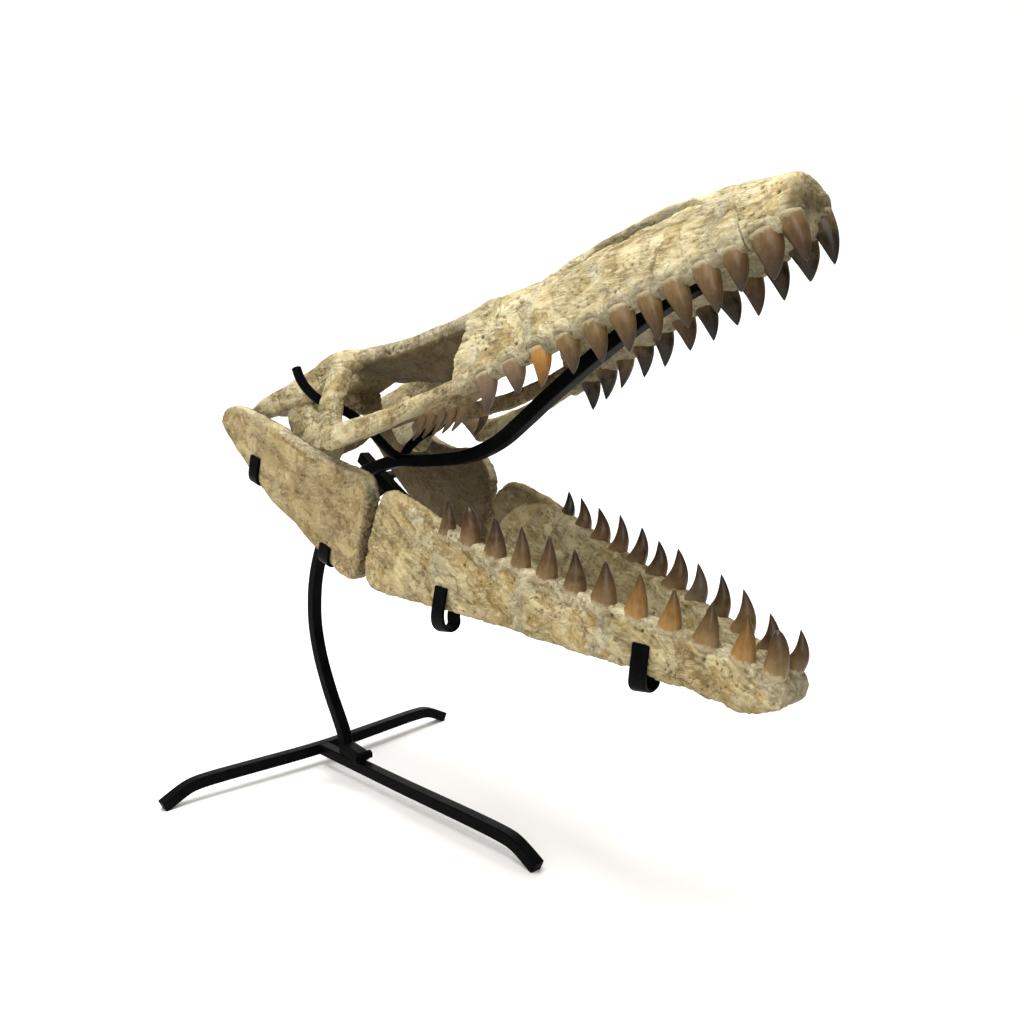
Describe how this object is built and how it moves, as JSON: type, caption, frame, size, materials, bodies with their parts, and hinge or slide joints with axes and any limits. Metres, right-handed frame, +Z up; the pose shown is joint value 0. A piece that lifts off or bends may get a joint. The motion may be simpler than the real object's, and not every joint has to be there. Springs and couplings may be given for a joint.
{
  "type": "mosasaur skull fossil on stand",
  "caption": "Fossil mosasaur skull with open toothed jaws, held on a black steel rod stand with a three-legged base.",
  "frame": {"origin": "middle of the footprint box, on the floor", "axes": "+Z up, +X to the snout, +Y to the animal's left"},
  "size_m": [0.638, 0.39, 0.5597],
  "materials": {
    "fossil_bone": "matt, porous, with cracks and grey repair filler",
    "plate_bone": "matt, smooth tan bone",
    "tooth_enamel": "glossy brown fossil enamel",
    "stand_paint": "satin black"
  },
  "bodies": {
    "root": {"braincase": "fossil_bone", "dentary_left": "fossil_bone", "dentary_right": "fossil_bone", "frontal": "fossil_bone", "jaw_plate_left": "plate_bone", "jaw_plate_right": "plate_bone", "jugal_left": "fossil_bone", "jugal_right": "fossil_bone", "maxilla_left": "fossil_bone", "maxilla_right": "fossil_bone", "parietal": "fossil_bone", "postorbital_left": "fossil_bone", "postorbital_right": "fossil_bone", "premaxilla": "fossil_bone", "pterygoid_left": "fossil_bone", "pterygoid_right": "fossil_bone", "quadrate_left": "fossil_bone", "quadrate_right": "fossil_bone", "squamosal_left": "fossil_bone", "squamosal_right": "fossil_bone", "stand_bolt_left": "stand_paint", "stand_bolt_right": "stand_paint", "stand_cradle_left": "stand_paint", "stand_cradle_right": "stand_paint", "stand_crossbar": "stand_paint", "stand_jaw_bar": "stand_paint", "stand_jaw_hook_front_left": "stand_paint", "stand_jaw_hook_front_right": "stand_paint", "stand_jaw_hook_rear_left": "stand_paint", "stand_jaw_hook_rear_right": "stand_paint", "stand_leg": "stand_paint", "stand_lug": "stand_paint", "stand_plate_arm_front_left": "stand_paint", "stand_plate_arm_front_right": "stand_paint", "stand_plate_arm_rear_left": "stand_paint", "stand_plate_arm_rear_right": "stand_paint", "stand_post": "stand_paint", "supratemporal_left": "fossil_bone", "supratemporal_right": "fossil_bone"}
  },
  "joints": []
}
